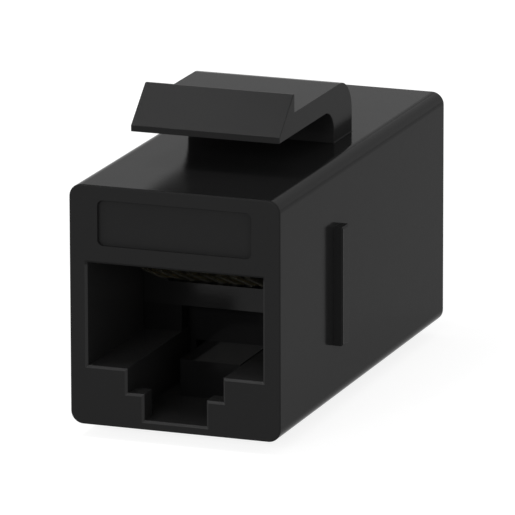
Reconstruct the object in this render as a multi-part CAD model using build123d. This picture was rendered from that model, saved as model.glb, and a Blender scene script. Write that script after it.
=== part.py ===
from build123d import *
import os

# Inline coupler for an eight-way network plug, with a snap-in body for a panel opening.
# Millimetres. X runs across the front face, -Y is out of the front port, +Z is up.
# The origin is under the middle of the body, level with the lowest face of the panel hook.

# Body, a moulded sleeve
body_depth = 32.3
body_height = 16.04
side_wall = 1.2
front_wall = 1.5
long_edge_radius = 0.85
end_edge_radius = 0.12

# Port mouth, the same at both ends, with heights above the underside of the body
port_width = 12.1
port_floor = 3.97
port_top = 10.86
shoulder_width = 6.64
shoulder_floor = 2.36
lever_width = 4.32
lever_floor = 0.62
mouth_chamfer = 0.15

# Name plate recess in the front face, left bare
plate_width = 10.6
plate_above_port = 1.19
plate_below_top = 0.94
plate_depth = 0.3
plate_corner = 0.4

# Panel fixing: hook below, ribs at the sides, latch above
hook_drop = 0.9
hook_width = 9.0
hook_front = 5.9
hook_flat = 0.6
catch_back = 8.5
rib_front = 10.2
rib_thickness = 1.25
rib_stand = 0.65
rib_bottom = 3.92
rib_height = 8.0
rib_chamfer = 0.12

# Latch arm
latch_width = 10.3
latch_nose = 5.7
latch_gap = 2.32
latch_thickness = 1.44
latch_nose_height = 0.41
latch_catch_height = 1.25
latch_catch_flat = 0.2
latch_leg_front = 16.1
latch_leg_thickness = 3.46
latch_outer_radius = 2.25
latch_inner_radius = 1.7
latch_edge = 0.03

# Contacts, bent from flat spring wire
contact_count = 8
contact_pitch = 1.02
wire_width = 0.4
wire_thickness = 0.25
pivot_back = 2.72
pivot_lift = 0.34
pivot_radius = 0.25
root_run = 1.53
middle_run = 3.35
root_slope = 34
middle_slope = 22
tip_slope = 13
tip_reach = 0.9
lead_rise = 0.85
lead_bend_gap = 0.4
tail_depth = 1.4

# Contact carrier, one behind each port
plug_reach = 8.5
stop_thickness = 2.2
stop_skirt = 0.87
pocket_depth = 1.4
pocket_height = 1.78
back_wall = 0.95
cheek_thickness = 0.8
roof_thickness = 1.35
roof_gap = 0.25
roof_margin = 0.12
fin_thickness = 0.4
nose_reach = 0.85
comb_set_back = 0.4
comb_lean = 0.7
toe_reach = 3.5
toe_width = 4.2
toe_slot_width = 5.7

# Circuit board between the two carriers
board_thickness = 1.6
board_side_gap = 0.25
board_foot_gap = 0.23
board_head_gap = 0.15
board_hole_radius = 0.32

# Rear cap, let into the back of the sleeve
cap_thickness = 1.5
cap_side_frame = 0.55
cap_bottom = 1.2
cap_above_chamber = 0.85
cap_key_margin = 0.58
tongue_gap = 0.3
tongue_thickness = 1.1
tongue_length = 5.0
tongue_edge = 0.15
barb_height = 0.4
barb_length = 1.2

# Clearances
slip = 0.05
turn_gap = 0.05
wire_gap = 0.07

# How far a cutting block runs past the face it opens, and how near an edge lies to count as in a face
overrun = 1.0
near = 0.01

# Sizes that follow from the ones above
front_y = -body_depth / 2
rear_y = body_depth / 2
base_z = hook_drop
body_width = port_width + 2 * side_wall
leg_radius = latch_leg_thickness / 2
leg_middle = latch_leg_front + leg_radius

pivot_height = port_top + pivot_lift
wire_bend = pivot_radius + turn_gap + wire_thickness / 2
lead_height = pivot_height + wire_bend
root_bend_back = pivot_back + root_run
tip_bend_back = root_bend_back + middle_run
stop_back = front_wall + plug_reach
tip_back = stop_back + tip_reach

carrier_back = (body_depth - board_thickness) / 2
wall_front = carrier_back - back_wall
cell_front = stop_back + stop_thickness
roof_low = lead_height + wire_thickness / 2 + roof_gap
chamber_height = roof_low + roof_thickness
comb_width = contact_count * contact_pitch + fin_thickness
roof_width = comb_width + 2 * roof_margin
pocket_back = stop_back + pocket_depth
toe_top = port_floor - stop_skirt

cap_front = body_depth - cap_thickness
cap_width = port_width + 2 * cap_side_frame
cap_key_width = shoulder_width + 2 * cap_key_margin
cap_top = chamber_height + cap_above_chamber
tongue_width = port_width / 2 - tongue_edge - roof_width / 2 - tongue_gap
tongue_middle = port_width / 2 - tongue_edge - tongue_width / 2


def point(back, height):
    """A point of a side view: distance behind the front face, height above the underside."""
    return (front_y + back, base_z + height)


def block(width, back_from, back_to, low, high, middle=0):
    """A block centred across the body, placed by depths and heights."""
    size_y = back_to - back_from
    size_z = high - low
    place = Pos(middle, front_y + (back_from + back_to) / 2, base_z + (low + high) / 2)
    return place * Box(width, size_y, size_z)


def bar(outline, width, middle=0):
    """A side-view outline carried across the body as a solid."""
    face = Plane.YZ.offset(middle - width / 2) * outline
    return extrude(face, amount=width)


def rod(back, height, radius, width):
    """A round rod across the body."""
    y, z = point(back, height)
    return Pos(0, y, z) * Rot(0, 90, 0) * Cylinder(radius, width)


def turned(shape):
    """The same piece facing the other end of the coupler."""
    return Rot(0, 0, 180) * shape


def port_cut(back_from, back_to):
    """The stepped hole that takes the plug, its latch shoulders and its lever."""
    cut = block(port_width, back_from, back_to, port_floor, port_top)
    cut += block(shoulder_width, back_from, back_to, shoulder_floor, port_floor)
    cut += block(lever_width, back_from, back_to, lever_floor, shoulder_floor)
    return cut


def mouth_edges(shape, face_y):
    """Edges of the stepped hole that lie in one end face."""
    found = []
    for edge in shape.edges().filter_by_position(Axis.Y, face_y - near, face_y + near):
        middle = edge.center()
        inside = abs(middle.X) < port_width / 2 + near
        height = middle.Z - base_z
        if inside and lever_floor - near < height < port_top + near:
            found.append(edge)
    return found


def contact_places():
    """Where the eight contacts lie across the port."""
    first = -(contact_count - 1) / 2 * contact_pitch
    return [first + index * contact_pitch for index in range(contact_count)]


def fin_places():
    """Where the nine fins lie, one on each side of every contact."""
    first = -contact_count / 2 * contact_pitch
    return [first + index * contact_pitch for index in range(contact_count + 1)]


def make_sleeve_block():
    """The outside of the sleeve: rounded along its length, with softly broken end edges."""
    section = Plane.XZ * Pos(0, base_z + body_height / 2) * RectangleRounded(
        body_width, body_height, long_edge_radius)
    solid = extrude(section, amount=body_depth / 2, both=True)
    ends = solid.faces().filter_by(Axis.Y).edges()
    return fillet(ends, end_edge_radius)


def make_ribs():
    """The two side ribs that bear on the back of a panel."""
    ribs = None
    for side in (-1, 1):
        width = rib_stand + side_wall / 2
        middle = side * (body_width / 2 + rib_stand - width / 2)
        rib = block(width, rib_front, rib_front + rib_thickness, rib_bottom, rib_bottom + rib_height, middle)
        outer = rib.faces().sort_by(Axis.X)[-1 if side > 0 else 0]
        rib = chamfer(outer.edges(), rib_chamfer)
        ribs = rib if ribs is None else ribs + rib
    return ribs


def make_hook():
    """The fixed wedge under the body that goes behind the lower edge of the opening."""
    buried = lever_floor / 2
    outline = Polyline(
        point(hook_front, buried),
        point(hook_front, 0),
        point(catch_back - hook_flat, -hook_drop),
        point(catch_back, -hook_drop),
        point(catch_back, buried),
        close=True)
    return bar(make_face(outline.edges()), hook_width)


def make_housing():
    """The one-piece sleeve with its front port, ribs, hook and the seat of the latch."""
    solid = make_sleeve_block() + make_ribs() + make_hook()
    # Chamber for the carriers, open to the rear, with the channel for the plug's latch under it
    solid -= block(port_width, front_wall, body_depth, port_floor, chamber_height)
    solid -= block(shoulder_width, front_wall, body_depth, lever_floor, port_floor)
    # Seat of the rear cap
    seat_bottom = cap_bottom - slip
    seat_top = cap_top + slip
    solid -= block(cap_width + 2 * slip, cap_front, body_depth + overrun, seat_bottom, seat_top)
    solid -= block(cap_key_width + 2 * slip, cap_front, body_depth + overrun, -overrun, seat_bottom)
    # Blind pockets that the barbs of the cap click into
    pocket_back = cap_front - tongue_length + barb_length + slip
    for side in (-1, 1):
        solid -= block(
            tongue_width + 2 * slip,
            cap_front - tongue_length - slip,
            pocket_back,
            chamber_height,
            chamber_height + barb_height,
            side * tongue_middle)
    # Round seat that the foot of the latch turns in
    solid -= rod(leg_middle, body_height, leg_radius + turn_gap, latch_width + 2 * slip)
    # Front port and the bare name plate above it
    solid -= port_cut(-overrun, front_wall)
    solid = chamfer(mouth_edges(solid, front_y), mouth_chamfer)
    plate_bottom = port_top + plate_above_port
    plate_top = body_height - plate_below_top
    plate_middle = (plate_bottom + plate_top) / 2
    plate = Plane.XZ.offset(-front_y) * Pos(0, base_z + plate_middle) * RectangleRounded(
        plate_width, plate_top - plate_bottom, plate_corner)
    return solid - extrude(plate, amount=-plate_depth)


def make_latch():
    """The springy arm: a leg with a round foot, a long flat arm and the ramp with its catch."""
    under = body_height + latch_gap
    over = under + latch_thickness
    crest = over + latch_catch_height
    leg_back = latch_leg_front + latch_leg_thickness
    bend = leg_back - latch_outer_radius
    inner_bend = latch_leg_front - latch_inner_radius
    with BuildSketch() as outline:
        with BuildLine():
            Polyline(
                point(inner_bend, under),
                point(latch_nose, under),
                point(latch_nose, under + latch_nose_height),
                point(catch_back - latch_catch_flat, crest),
                point(catch_back, crest),
                point(catch_back, over),
                point(bend, over))
            RadiusArc(point(bend, over), point(leg_back, over - latch_outer_radius), latch_outer_radius)
            Line(point(leg_back, over - latch_outer_radius), point(leg_back, body_height))
            ThreePointArc(
                point(leg_back, body_height),
                point(leg_middle, body_height - leg_radius),
                point(latch_leg_front, body_height))
            Line(point(latch_leg_front, body_height), point(latch_leg_front, under - latch_inner_radius))
            RadiusArc(
                point(latch_leg_front, under - latch_inner_radius),
                point(inner_bend, under),
                -latch_inner_radius)
        make_face()
    arm = bar(outline.sketch, latch_width)
    sides = arm.faces().filter_by(Axis.X).edges()
    return chamfer(sides, latch_edge)


def make_rear_cap():
    """The plate round the rear port, keyed into the floor and held by two barbed tongues."""
    plate = block(cap_width, cap_front, body_depth, cap_bottom, cap_top)
    plate += block(cap_key_width, cap_front, body_depth, 0, cap_bottom)
    plate -= port_cut(cap_front - overrun, body_depth + overrun)
    plate = chamfer(mouth_edges(plate, rear_y), mouth_chamfer)
    tongue_top = chamber_height - slip
    tip = cap_front - tongue_length
    for side in (-1, 1):
        middle = side * tongue_middle
        plate += block(tongue_width, tip, cap_front, tongue_top - tongue_thickness, tongue_top, middle)
        barb = Polyline(
            point(tip, tongue_top),
            point(tip + barb_length, tongue_top),
            point(tip + barb_length, tongue_top + barb_height),
            close=True)
        plate += bar(make_face(barb.edges()), tongue_width, middle)
    return plate


def slope_down(start, run, slope):
    """Height reached from a start height, over a run at a downward slope in degrees."""
    drop = Vector(run, 0).rotate(Axis.Z, slope)
    return start - run * drop.Y / drop.X


def root_point():
    """Where the wire leaves its bend round the pivot bar, as a depth and a height."""
    reach = Vector(0, -wire_bend).rotate(Axis.Z, -root_slope)
    return (pivot_back + reach.X, pivot_height + reach.Y)


def bend_heights():
    """Heights of the contact's middle line at its two soft bends and at its tip."""
    root_back, root_height = root_point()
    first = slope_down(root_height, root_bend_back - root_back, root_slope)
    second = slope_down(first, tip_bend_back - root_bend_back, middle_slope)
    third = slope_down(second, tip_back - tip_bend_back, tip_slope)
    return first, second, third


def tip_low():
    """Height just under the resting tips, where the plug stop ends and the comb begins."""
    return bend_heights()[-1] - wire_thickness / 2 - wire_gap


def lead_end_height(index):
    """Neighbouring contacts reach the board in two rows, so that their holes don't crowd."""
    return lead_height + lead_rise * (index % 2)


def make_plug_stop():
    """The wall that the plug's nose meets: a window for the contact tips over a shallow pocket."""
    wall_width = port_width - 2 * slip
    wall = block(wall_width, stop_back, cell_front, port_floor, chamber_height)
    wall -= block(comb_width, stop_back, cell_front, tip_low(), roof_low)
    return wall - block(shoulder_width, stop_back, pocket_back, port_floor, port_floor + pocket_height)


def make_comb_tooth(place):
    """One leaning tooth that keeps two neighbouring tips apart in the window."""
    outline = Polyline(
        point(stop_back + comb_set_back + comb_lean, tip_low()),
        point(cell_front, tip_low()),
        point(cell_front, roof_low),
        point(stop_back + comb_set_back, roof_low),
        close=True)
    return bar(make_face(outline.edges()), fin_thickness, place)


def make_toe():
    """The low part that closes the channel, with a step that reaches out under the plug's nose."""
    width = shoulder_width - 2 * slip
    toe = block(width, pocket_back, carrier_back, lever_floor, port_floor)
    toe -= block(toe_slot_width, pocket_back, wall_front, lever_floor, toe_top)
    return toe + block(toe_width, stop_back - toe_reach, wall_front, lever_floor, toe_top)


def make_carrier():
    """The moulding that holds the contacts: roof, pivot bar, combs, plug stop and back wall."""
    solid = block(roof_width, front_wall, cell_front, roof_low, chamber_height)
    solid += make_plug_stop()
    solid += make_toe()
    # Back wall against the board, and the cheeks that tie it to the plug stop
    wall_width = port_width - 2 * slip
    solid += block(wall_width, wall_front, carrier_back, port_floor, chamber_height)
    for side in (-1, 1):
        middle = side * (wall_width - cheek_thickness) / 2
        solid += block(cheek_thickness, cell_front, wall_front, port_floor, chamber_height, middle)
    # Fins at the nose, joined by the pivot bar, and the teeth that guide the tips
    for place in fin_places():
        solid += block(
            fin_thickness,
            pivot_back - nose_reach,
            pivot_back + nose_reach,
            port_top + slip,
            roof_low,
            place)
        solid += make_comb_tooth(place)
    solid += rod(pivot_back, pivot_height, pivot_radius, comb_width)
    # Slots in the back wall for the contact leads
    half = wire_thickness / 2 + wire_gap
    for index, place in enumerate(contact_places()):
        height = lead_end_height(index)
        solid -= block(wire_width + 2 * wire_gap, wall_front, carrier_back, height - half, height + half, place)
    return solid


def make_contact():
    """One springy contact finger, from its bend round the pivot bar to its tip in the comb."""
    first, second, third = bend_heights()
    root_back, root_height = root_point()
    with BuildLine() as path:
        ThreePointArc(
            point(pivot_back, lead_height),
            point(pivot_back - wire_bend, pivot_height),
            point(root_back, root_height))
        Line(point(root_back, root_height), point(root_bend_back, first))
        Line(point(root_bend_back, first), point(tip_bend_back, second))
        Line(point(tip_bend_back, second), point(tip_back, third))
    with BuildSketch() as outline:
        trace(path.line, wire_thickness)
    return bar(outline.sketch, wire_width)


def make_lead(index):
    """The fixed run of one contact, from the pivot bar through the back wall into the board."""
    end = lead_end_height(index)
    tail = carrier_back + tail_depth
    start = pivot_back + wire_gap
    with BuildLine() as path:
        if end > lead_height:
            Polyline(
                point(start, lead_height),
                point(cell_front + lead_bend_gap, lead_height),
                point(wall_front - lead_bend_gap, end),
                point(tail, end))
        else:
            Line(point(start, lead_height), point(tail, end))
    with BuildSketch() as outline:
        trace(path.line, wire_thickness)
    return bar(outline.sketch, wire_width)


def make_leads():
    """All eight fixed runs of one port."""
    leads = [Pos(place, 0, 0) * make_lead(index) for index, place in enumerate(contact_places())]
    return Compound(leads)


def make_board():
    """The circuit board that crosses the pairs over, drilled for both rows of both ports."""
    board = block(
        port_width - 2 * board_side_gap,
        carrier_back,
        carrier_back + board_thickness,
        port_floor + board_foot_gap,
        chamber_height - board_head_gap)
    for index, place in enumerate(contact_places()):
        y, z = point(carrier_back + board_thickness / 2, lead_end_height(index))
        hole = Pos(place, y, z) * Rot(90, 0, 0) * Cylinder(board_hole_radius, board_thickness + overrun)
        board -= hole
        board -= turned(hole)
    return board


os.makedirs("parts", exist_ok=True)

carrier = make_carrier()
leads = make_leads()
contact = make_contact()

export_step(make_housing(), "parts/housing.step")
export_step(make_latch(), "parts/latch_arm.step")
export_step(make_rear_cap(), "parts/rear_cap.step")
export_step(carrier, "parts/front_carrier.step")
export_step(turned(carrier), "parts/rear_carrier.step")
export_step(leads, "parts/front_contact_leads.step")
export_step(turned(leads), "parts/rear_contact_leads.step")
export_step(make_board(), "parts/circuit_board.step")
for index, place in enumerate(contact_places()):
    placed = Pos(place, 0, 0) * contact
    export_step(placed, f"parts/front_contact_{index + 1}.step")
    export_step(turned(placed), f"parts/rear_contact_{index + 1}.step")
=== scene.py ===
import math

import bpy
from mathutils import Matrix, Vector


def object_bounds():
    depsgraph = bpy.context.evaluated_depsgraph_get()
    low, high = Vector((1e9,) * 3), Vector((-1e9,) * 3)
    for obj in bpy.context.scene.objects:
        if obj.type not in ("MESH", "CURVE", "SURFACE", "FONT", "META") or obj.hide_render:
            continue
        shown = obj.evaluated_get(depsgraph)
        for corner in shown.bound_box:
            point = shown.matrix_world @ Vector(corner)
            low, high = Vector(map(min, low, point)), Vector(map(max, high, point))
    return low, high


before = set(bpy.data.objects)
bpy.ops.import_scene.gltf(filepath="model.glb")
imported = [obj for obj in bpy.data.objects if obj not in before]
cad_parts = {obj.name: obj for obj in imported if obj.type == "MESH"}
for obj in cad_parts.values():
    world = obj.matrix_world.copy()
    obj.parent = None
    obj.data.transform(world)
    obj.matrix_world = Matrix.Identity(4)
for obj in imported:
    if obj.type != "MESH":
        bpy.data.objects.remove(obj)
cad_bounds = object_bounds()


# Housing
# The housing is one glossy black moulding of hard plastic: a sleeve with the front port, the
# bare name plate, side ribs and hook, moulded smooth with a faint ripple. Its top is a little
# glossier and painted darker as shade; the mouth's rim and the ribs' outer corners carry
# painted highlights.

mm = 0.001
rib_side, port_end, _ = cad_bounds[1]
body_top = 16.94 * mm
just_below = 0.04 * mm


def new_group(name, inputs, outputs):
    """An empty shader node group with the named sockets; an input is (name, kind, default)."""
    group = bpy.data.node_groups.new(name, "ShaderNodeTree")
    for label, kind, default in inputs:
        socket = group.interface.new_socket(label, in_out="INPUT", socket_type=kind)
        socket.default_value = default
    for label, kind in outputs:
        group.interface.new_socket(label, in_out="OUTPUT", socket_type=kind)
    return group, group.nodes.new("NodeGroupInput"), group.nodes.new("NodeGroupOutput")


def set_values(node, values):
    """Sets a node's input sockets by name."""
    for label, value in values.items():
        node.inputs[label].default_value = value


def combine(tree, operation, *parts):
    """A Math node that takes the given output sockets."""
    node = tree.nodes.new("ShaderNodeMath")
    node.operation = operation
    for part, socket in zip(parts, node.inputs):
        tree.links.new(part, socket)
    return node.outputs["Value"]


def mix_colours(tree, factor, first, second):
    """A Mix node for colours, whose sockets go by number: their names stand for numbers too."""
    first_colour, second_colour, mixed_colour = 6, 7, 2
    node = tree.nodes.new("ShaderNodeMix")
    node.data_type = "RGBA"
    tree.links.new(factor, node.inputs["Factor"])
    tree.links.new(first, node.inputs[first_colour])
    tree.links.new(second, node.inputs[second_colour])
    return node.outputs[mixed_colour]


def make_moulded_skin():
    """Shared effect: a worked surface with ripple, fine grain, rubbed and painted-highlight edges.
    """
    group, given, result = new_group(
        "moulded_skin",
        [
            ("Colour", "NodeSocketColor", (0.02, 0.02, 0.02, 1)),
            ("Edge Colour", "NodeSocketColor", (0.05, 0.05, 0.05, 1)),
            ("Roughness", "NodeSocketFloat", 0.2),
            ("Roughness Spread", "NodeSocketFloat", 0.06),
            ("Ripple Size", "NodeSocketFloat", 300.0),
            ("Grain Size", "NodeSocketFloat", 9000.0),
            ("Ripple Depth", "NodeSocketFloat", 0.004 * mm),
            ("Edge Radius", "NodeSocketFloat", 0.03 * mm),
            ("Stretch", "NodeSocketVector", (1.0, 1.0, 1.0)),
        ],
        [
            ("Colour", "NodeSocketColor"),
            ("Roughness", "NodeSocketFloat"),
            ("Normal", "NodeSocketVector"),
        ],
    )
    ripple_detail = 2
    grain_detail = 3
    edge_samples = 4
    rub_and_highlight_begins = 0.995
    rub_and_highlight_full = 0.85

    nodes = group.nodes
    link = group.links.new
    place = nodes.new("ShaderNodeTexCoord")
    stretched = nodes.new("ShaderNodeVectorMath")
    stretched.operation = "MULTIPLY"
    link(place.outputs["Object"], stretched.inputs[0])
    link(given.outputs["Stretch"], stretched.inputs[1])
    ripple = nodes.new("ShaderNodeTexNoise")
    ripple.inputs["Detail"].default_value = ripple_detail
    grain = nodes.new("ShaderNodeTexNoise")
    grain.inputs["Detail"].default_value = grain_detail
    link(stretched.outputs["Vector"], ripple.inputs["Vector"])
    link(stretched.outputs["Vector"], grain.inputs["Vector"])
    link(given.outputs["Ripple Size"], ripple.inputs["Scale"])
    link(given.outputs["Grain Size"], grain.inputs["Scale"])

    # The rounded normal differs from the flat one only near an edge, which gives the mask
    # for rubbed edges and their painted highlight
    round_edge = nodes.new("ShaderNodeBevel")
    round_edge.samples = edge_samples
    link(given.outputs["Edge Radius"], round_edge.inputs["Radius"])
    flat = nodes.new("ShaderNodeNewGeometry")
    nearness = nodes.new("ShaderNodeVectorMath")
    nearness.operation = "DOT_PRODUCT"
    link(round_edge.outputs["Normal"], nearness.inputs[0])
    link(flat.outputs["Normal"], nearness.inputs[1])
    edge_mask = nodes.new("ShaderNodeMapRange")
    set_values(edge_mask, {
        "From Min": rub_and_highlight_begins, "From Max": rub_and_highlight_full, "To Min": 0.0, "To Max": 1.0})
    link(nearness.outputs["Value"], edge_mask.inputs["Value"])
    broken = combine(group, "MULTIPLY", edge_mask.outputs["Result"], ripple.outputs["Fac"])
    rubbed_and_highlit = mix_colours(group, broken, given.outputs["Colour"], given.outputs["Edge Colour"])
    link(rubbed_and_highlit, result.inputs["Colour"])

    spread = combine(
        group, "MULTIPLY_ADD",
        ripple.outputs["Fac"], given.outputs["Roughness Spread"], given.outputs["Roughness"])
    link(spread, result.inputs["Roughness"])

    bump = nodes.new("ShaderNodeBump")
    bump.inputs["Strength"].default_value = 1
    link(given.outputs["Ripple Depth"], bump.inputs["Distance"])
    link(combine(group, "ADD", ripple.outputs["Fac"], grain.outputs["Fac"]), bump.inputs["Height"])
    link(round_edge.outputs["Normal"], bump.inputs["Normal"])
    link(bump.outputs["Normal"], result.inputs["Normal"])
    return group


def make_painted_light_band():
    """Shared effect: another colour, for painted light and shade, and another gloss, where a piece
    lies in a band and leans a given way.

    Side and End are distances to both sides of the middle; Lean is 1 on a face square to the
    port's axis and 0 on one along it. A limit that isn't given is one that nothing reaches.
    """
    too_low = -1.0
    too_far = 1.0
    too_steep = 2.0
    group, given, result = new_group(
        "painted_light_band",
        [
            ("Colour", "NodeSocketColor", (0.02, 0.02, 0.02, 1)),
            ("Band Colour", "NodeSocketColor", (0.04, 0.04, 0.04, 1)),
            ("Gloss", "NodeSocketFloat", 0.5),
            ("Band Gloss", "NodeSocketFloat", 0.5),
            ("Side", "NodeSocketFloat", too_low),
            ("Left", "NodeSocketFloat", too_low),
            ("Right", "NodeSocketFloat", too_far),
            ("Low", "NodeSocketFloat", too_low),
            ("High", "NodeSocketFloat", too_far),
            ("End", "NodeSocketFloat", too_low),
            ("Lean Low", "NodeSocketFloat", too_low),
            ("Lean High", "NodeSocketFloat", too_steep),
        ],
        [("Colour", "NodeSocketColor"), ("Gloss", "NodeSocketFloat")],
    )
    nodes = group.nodes
    link = group.links.new
    place = nodes.new("ShaderNodeTexCoord")
    where = nodes.new("ShaderNodeSeparateXYZ")
    link(place.outputs["Object"], where.inputs["Vector"])
    surface = nodes.new("ShaderNodeNewGeometry")
    facing = nodes.new("ShaderNodeSeparateXYZ")
    link(surface.outputs["Normal"], facing.inputs["Vector"])

    def over(value, limit):
        return combine(group, "GREATER_THAN", value, given.outputs[limit])

    def under(value, limit):
        return combine(group, "LESS_THAN", value, given.outputs[limit])

    lean = combine(group, "ABSOLUTE", facing.outputs["Y"])
    conditions = (
        over(combine(group, "ABSOLUTE", where.outputs["X"]), "Side"),
        over(where.outputs["X"], "Left"),
        under(where.outputs["X"], "Right"),
        over(where.outputs["Z"], "Low"),
        under(where.outputs["Z"], "High"),
        over(combine(group, "ABSOLUTE", where.outputs["Y"]), "End"),
        over(lean, "Lean Low"),
        under(lean, "Lean High"),
    )
    mask = conditions[0]
    for condition in conditions[1:]:
        mask = combine(group, "MULTIPLY", mask, condition)
    colour = mix_colours(group, mask, given.outputs["Colour"], given.outputs["Band Colour"])
    link(colour, result.inputs["Colour"])
    gloss = nodes.new("ShaderNodeMix")
    link(mask, gloss.inputs["Factor"])
    link(given.outputs["Gloss"], gloss.inputs["A"])
    link(given.outputs["Band Gloss"], gloss.inputs["B"])
    link(gloss.outputs["Result"], result.inputs["Gloss"])
    return group


moulded_skin = make_moulded_skin()
painted_light_band = make_painted_light_band()


def new_material(name, values, constants, bands=()):
    """A Principled material fed by the shared skin and its painted light bands, one after another.

    The constants go straight on the shader.
    """
    material = bpy.data.materials.new(name)
    material.use_nodes = True
    nodes = material.node_tree.nodes
    link = material.node_tree.links.new
    shader = nodes["Principled BSDF"]
    skin = nodes.new("ShaderNodeGroup")
    skin.node_tree = moulded_skin
    set_values(skin, values)
    colour = skin.outputs["Colour"]
    gloss = None
    for band in bands:
        band_node = nodes.new("ShaderNodeGroup")
        band_node.node_tree = painted_light_band
        set_values(band_node, band)
        link(colour, band_node.inputs["Colour"])
        if gloss:
            link(gloss, band_node.inputs["Gloss"])
        colour, gloss = band_node.outputs["Colour"], band_node.outputs["Gloss"]
    if gloss:
        link(gloss, shader.inputs["Specular IOR Level"])
    link(colour, shader.inputs["Base Color"])
    link(skin.outputs["Roughness"], shader.inputs["Roughness"])
    link(skin.outputs["Normal"], shader.inputs["Normal"])
    set_values(shader, constants)
    return material


def dress(name, material):
    """Gives a carried-over piece its material."""
    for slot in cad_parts[name].material_slots:
        slot.material = material


# Edge Colour paints the edges lighter: rubbing and a painted highlight
gloss_black = {
    "Colour": (0.0155, 0.0155, 0.0156, 1),
    "Edge Colour": (0.024, 0.024, 0.0242, 1),
    "Roughness": 0.09,
    "Roughness Spread": 0.06,
}
gloss_constants = {"IOR": 1.063}

# A painted highlight on the slanting rim all round a port's mouth, at either end
rim_highlight = {
    "Band Colour": (0.028, 0.028, 0.0282, 1),
    "Left": -6.3 * mm,
    "Right": 6.3 * mm,
    "Low": 1.2 * mm,
    "High": 11.6 * mm,
    "End": port_end - 0.17 * mm,
    "Lean Low": 0.4,
    "Lean High": 0.9,
}

# A painted highlight on the outermost part of the chamfer on each rib's corners
rib_corner_highlight = {
    "Band Colour": (0.085, 0.085, 0.0853, 1),
    "Side": rib_side - 0.03 * mm,
    "Lean Low": 0.4,
    "Lean High": 0.9,
}
# The top face, a little glossier and painted darker as shade
shaded_glossier_top = {
    "Band Colour": (0.0112, 0.0112, 0.0113, 1),
    "Band Gloss": 0.54,
    "Low": body_top - just_below,
}

housing_plastic = new_material(
    "housing_plastic", gloss_black, gloss_constants, [rim_highlight, rib_corner_highlight, shaded_glossier_top])
dress("housing", housing_plastic)


# Latch arm
# The springy arm grows out of the sleeve in the same shot of plastic, so it has the same skin,
# with crisper edges, painted lighter as highlight. A fine line where the arm meets the body is
# painted lighter as a highlight.

crisp_black = {**gloss_black, "Edge Radius": 0.03 * mm, "Edge Colour": (0.075, 0.075, 0.0753, 1)}
# A painted highlight in a fine line where the arm meets the body
root_highlight = {
    "Band Colour": (0.045, 0.045, 0.0453, 1),
    "Low": body_top - just_below,
    "High": body_top + 0.09 * mm,
    "Lean High": 0.3,
}

latch_plastic = new_material("latch_plastic", crisp_black, gloss_constants, [root_highlight])
dress("latch_arm", latch_plastic)


# Rear cap
# A second moulding of the same black plastic, pushed into the back of the sleeve. The rim of its
# mouth carries the same painted highlight as the front one.

cap_plastic = new_material("cap_plastic", gloss_black, gloss_constants, [rim_highlight])
dress("rear_cap", cap_plastic)


# Contact carriers
# Two mouldings of a glass-filled black plastic that stands the heat of soldering. The end wall
# that stops the plug is smooth enough to mirror the mouth's light. The faces low behind it are
# left matt and painted darker as shade, and a patch of light is painted on the top of the step.

stop_bottom = 6.65 * mm
step_top = 4.0 * mm
patch_reach = 0.05 * mm

# Edge Colour paints the edges lighter: rubbing and a painted highlight
insert_black = {
    "Colour": (0.0055, 0.0055, 0.0056, 1),
    "Edge Colour": (0.012, 0.012, 0.012, 1),
    "Roughness": 0.1,
    "Roughness Spread": 0.06,
}
# Low faces square to the port's axis: less gloss, and painted darker as shade
matt_shaded_below = {
    "Band Colour": (0.004, 0.004, 0.0041, 1),
    "Band Gloss": 0.1,
    "High": stop_bottom,
    "Lean Low": 0.9,
}
# A painted patch of light on the top of the step
lit_step_patch = {
    "Band Colour": (0.03, 0.03, 0.0303, 1),
    "Left": -1.1 * mm,
    "Right": 2.15 * mm,
    "Low": step_top - patch_reach,
    "High": step_top + patch_reach,
    "Lean High": 0.1,
}

carrier_plastic = new_material(
    "carrier_plastic", insert_black, {"IOR": 1.25}, [matt_shaded_below, lit_step_patch])
for name in ("front_carrier", "rear_carrier"):
    dress(name, carrier_plastic)


# Contacts
# Fingers and leads of spring bronze with a thin plating of gold, bent from flat drawn wire, so
# the grain runs along the wire.

fingers_per_port = 8

# Edge Colour paints the edges lighter as a painted highlight
gold_plate = {
    "Colour": (0.97, 0.91, 0.68, 1),
    "Edge Colour": (0.98, 0.94, 0.76, 1),
    "Roughness": 0.18,
    "Roughness Spread": 0.12,
    "Edge Radius": 0.04 * mm,
    "Stretch": (3.0, 0.25, 0.25),
}
contact_gold = new_material("contact_gold", gold_plate, {"Metallic": 1.0})
for end in ("front", "rear"):
    for index in range(1, fingers_per_port + 1):
        dress(f"{end}_contact_{index}", contact_gold)
    dress(f"{end}_contact_leads", contact_gold)


# Circuit board
# Glass cloth and resin under a green lacquer, with the weave faintly raised. It joins each front
# contact to its rear one and is held between the two carriers.

board_green = {
    "Colour": (0.02, 0.12, 0.05, 1),
    "Edge Colour": (0.2, 0.18, 0.1, 1),
    "Roughness": 0.35,
    "Roughness Spread": 0.1,
    "Ripple Size": 1500.0,
}
board_lacquer = new_material("board_lacquer", board_green, {"IOR": 1.5})
dress("circuit_board", board_lacquer)


# Floor
# A plain pale floor. The camera sees it as a white glow with a share of shaded white, so it goes
# over into the room without a line and still keeps the object's soft shadow. What it throws back
# on the object is the light of a plain pale grey.

floor_size = 6.0
floor_glow = 0.85
floor_share = 0.3
floor_lit = 0.8

bpy.ops.mesh.primitive_plane_add(size=floor_size, location=(0, 0, 0))
floor = bpy.context.object
floor.name = "floor"
floor_white = bpy.data.materials.new("floor_white")
floor_white.use_nodes = True


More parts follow.
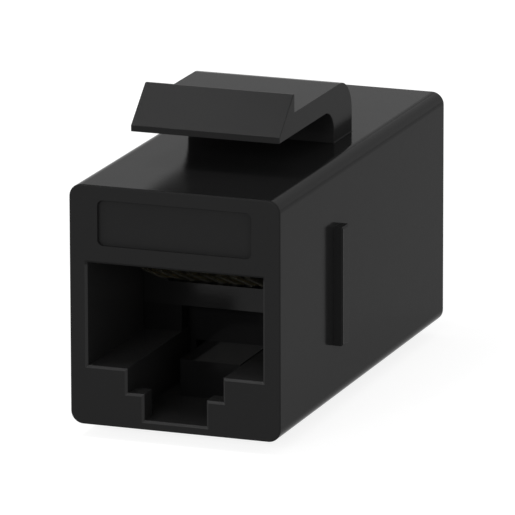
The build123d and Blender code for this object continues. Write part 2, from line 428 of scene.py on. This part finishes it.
def seen_or_mirrored(tree):
    """A mask that is 1 for what the camera sees, straight or in a mirror or through glass."""
    path = tree.nodes.new("ShaderNodeLightPath")
    straight = combine(
        tree, "MAXIMUM", path.outputs["Is Camera Ray"], path.outputs["Is Glossy Ray"])
    return combine(tree, "MAXIMUM", straight, path.outputs["Is Transmission Ray"])


def matt_grey(tree, level):
    """A matt shader of one grey."""
    shader = tree.nodes.new("ShaderNodeBsdfDiffuse")
    shader.inputs["Color"].default_value = (level, level, level, 1)
    return shader.outputs["BSDF"]


floor_tree = floor_white.node_tree
floor_tree.nodes.clear()
floor_out = floor_tree.nodes.new("ShaderNodeOutputMaterial")
floor_pick = floor_tree.nodes.new("ShaderNodeMixShader")
floor_light = floor_tree.nodes.new("ShaderNodeEmission")
floor_light.inputs["Strength"].default_value = floor_glow
floor_sum = floor_tree.nodes.new("ShaderNodeAddShader")
floor_link = floor_tree.links.new
floor_link(matt_grey(floor_tree, floor_share), floor_sum.inputs[0])
floor_link(floor_light.outputs["Emission"], floor_sum.inputs[1])
floor_link(seen_or_mirrored(floor_tree), floor_pick.inputs["Fac"])
floor_link(matt_grey(floor_tree, floor_lit), floor_pick.inputs[1])
floor_link(floor_sum.outputs["Shader"], floor_pick.inputs[2])
floor_link(floor_pick.outputs["Shader"], floor_out.inputs["Surface"])
floor.data.materials.append(floor_white)


# Room light
# A white room, plain white to the camera and in gloss but half as bright as a light, with a small
# soft lamp overhead, a large one in front that shines into the port, and three weak panels: left,
# right and behind.

room_lit = 0.5
room_seen = 1.0

world = bpy.data.worlds.new("room")
bpy.context.scene.world = world
world.use_nodes = True
world_tree = world.node_tree
room = world_tree.nodes["Background"]
room.inputs["Color"].default_value = (1, 1, 1, 1)
strength = world_tree.nodes.new("ShaderNodeMapRange")
set_values(strength, {"From Min": 0.0, "From Max": 1.0, "To Min": room_lit, "To Max": room_seen})
world_tree.links.new(seen_or_mirrored(world_tree), strength.inputs["Value"])
world_tree.links.new(strength.outputs["Result"], room.inputs["Strength"])


def soft_lamp(name, place, aim, size, power):
    """A soft oblong lamp at a place, turned to face an aim point."""
    data = bpy.data.lights.new(name, "AREA")
    data.shape = "RECTANGLE"
    data.size, data.size_y = size
    data.energy = power
    lamp = bpy.data.objects.new(name, data)
    bpy.context.scene.collection.objects.link(lamp)
    lamp.location = place
    lamp.rotation_euler = (Vector(aim) - Vector(place)).to_track_quat("-Z", "Y").to_euler()


soft_lamp(
    "lamp_over", place=(-0.1415, -0.08, 0.4), aim=(0, 0, 0.015), size=(0.11, 0.06), power=0.41)
soft_lamp("lamp_front", place=(-0.04, -0.6, 0.2), aim=(0, 0, 0.01), size=(0.3, 0.2), power=1.78)
soft_lamp("panel_left", place=(-0.2, -0.55, 0.155), aim=(0, 0, 0.005), size=(0.2, 0.2), power=0.2)
soft_lamp("panel_right", place=(0.46, -0.386, 0.11), aim=(0, 0, 0.008), size=(0.2, 0.2), power=0.3)
soft_lamp("panel_back", place=(0.168, 0.951, 0.24), aim=(0, 0, 0.24), size=(0.6, 0.46), power=0.62)


# Camera
# Stands where the photograph was taken from: a long lens, low and to the right of the front.

camera_aim = Vector((3.97, -11.43, 11.83)) * mm
camera_distance = 488.3 * mm
camera_azimuth = math.radians(20.37)
camera_elevation = math.radians(14.57)
camera_roll = math.radians(-0.14)
camera_lens = 527.6
camera_sensor = 36

level_out = math.cos(camera_elevation)
camera_back = Vector((
    math.sin(camera_azimuth) * level_out,
    -math.cos(camera_azimuth) * level_out,
    math.sin(camera_elevation)))
camera_turn = (
    camera_back.to_track_quat("Z", "Y").to_matrix().to_4x4()
    @ Matrix.Rotation(camera_roll, 4, "Z"))
camera_data = bpy.data.cameras.new("camera")
camera_data.lens = camera_lens
camera_data.sensor_width = camera_sensor
camera = bpy.data.objects.new("camera", camera_data)
bpy.context.scene.collection.objects.link(camera)
camera.matrix_world = Matrix.Translation(camera_aim + camera_back * camera_distance) @ camera_turn
bpy.context.scene.camera = camera
bpy.context.scene.view_settings.view_transform = "Standard"
